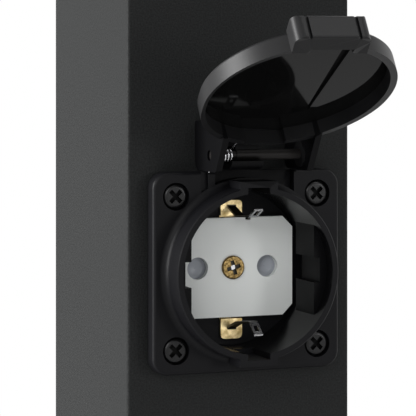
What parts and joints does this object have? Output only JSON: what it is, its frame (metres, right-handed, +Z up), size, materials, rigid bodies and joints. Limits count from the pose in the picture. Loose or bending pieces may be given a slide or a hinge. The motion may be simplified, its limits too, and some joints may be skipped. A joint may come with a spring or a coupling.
{
  "type": "bollard light with socket",
  "caption": "Square post bollard light with a windowed light head, a foot plate for bolting down and a flanged earthed socket under a hinged lid in its front face.",
  "frame": {"origin": "centre of the foot plate's underside", "axes": "+Z up along the post; the socket and its lid face -Y; +X is to the right as seen from in front"},
  "size_m": [0.11, 0.1432, 0.6],
  "materials": {
    "post_paint": "fine-textured anthracite powder coat",
    "black_plastic": "satin",
    "grey_plastic": "satin",
    "shutter_plastic": "semi-gloss",
    "white_plastic": "semi-gloss",
    "opal_plastic": "opal satin",
    "board_white": "satin",
    "chip_yellow": "gloss",
    "black_steel": "black passivated",
    "bright_steel": "bright",
    "tray_steel": "galvanised",
    "aluminium": "satin",
    "brass": "satin",
    "rubber": "matt"
  },
  "bodies": {
    "bollard": {"foot_plate": "post_paint", "foot_spigot": "post_paint", "foot_screws": "bright_steel", "cable_grommet": "rubber", "post": "post_paint", "gear_tray": "tray_steel", "tray_screws": "bright_steel", "terminal_block": "white_plastic", "terminal_screws": "brass", "led_driver": "white_plastic", "driver_screws": "bright_steel", "head_shelf": "aluminium", "shelf_screws": "bright_steel", "diffuser": "opal_plastic", "diffuser_gasket": "rubber", "reflector_cone": "white_plastic", "heat_spreader": "aluminium", "led_board": "board_white", "led_chips": "chip_yellow", "board_screws": "bright_steel", "cap_gasket": "rubber", "top_cap": "post_paint", "cap_screws": "bright_steel", "flange_gasket": "rubber", "socket_housing": "black_plastic", "flange_screws": "black_steel", "contact_carrier": "grey_plastic", "contact_screws": "brass", "line_sleeves": "brass", "earth_strap": "brass", "earth_clips": "bright_steel", "insert_plate": "grey_plastic", "centre_screw": "brass", "shutter_spring": "bright_steel", "rear_cover": "grey_plastic", "lid_spring": "bright_steel"},
    "lid": {"lid": "black_plastic", "hinge_pin": "black_steel"},
    "shutter": {"shutter": "shutter_plastic"}
  },
  "joints": [
    {"name": "lid_hinge", "type": "hinge", "parent": "bollard", "child": "lid", "pos_m": [0, -0.03997, 0.34925], "axis": [1, 0, 0], "range_deg": [0, 120.5], "deforming": ["lid_spring"]},
    {"name": "shutter_turn", "type": "hinge", "parent": "bollard", "child": "shutter", "pos_m": [0, -0.0225, 0.32], "axis": [0, 1, 0], "range_deg": [0, 50], "stiffness_Nm_per_rad": 0.0004, "deforming": ["shutter_spring"]}
  ]
}
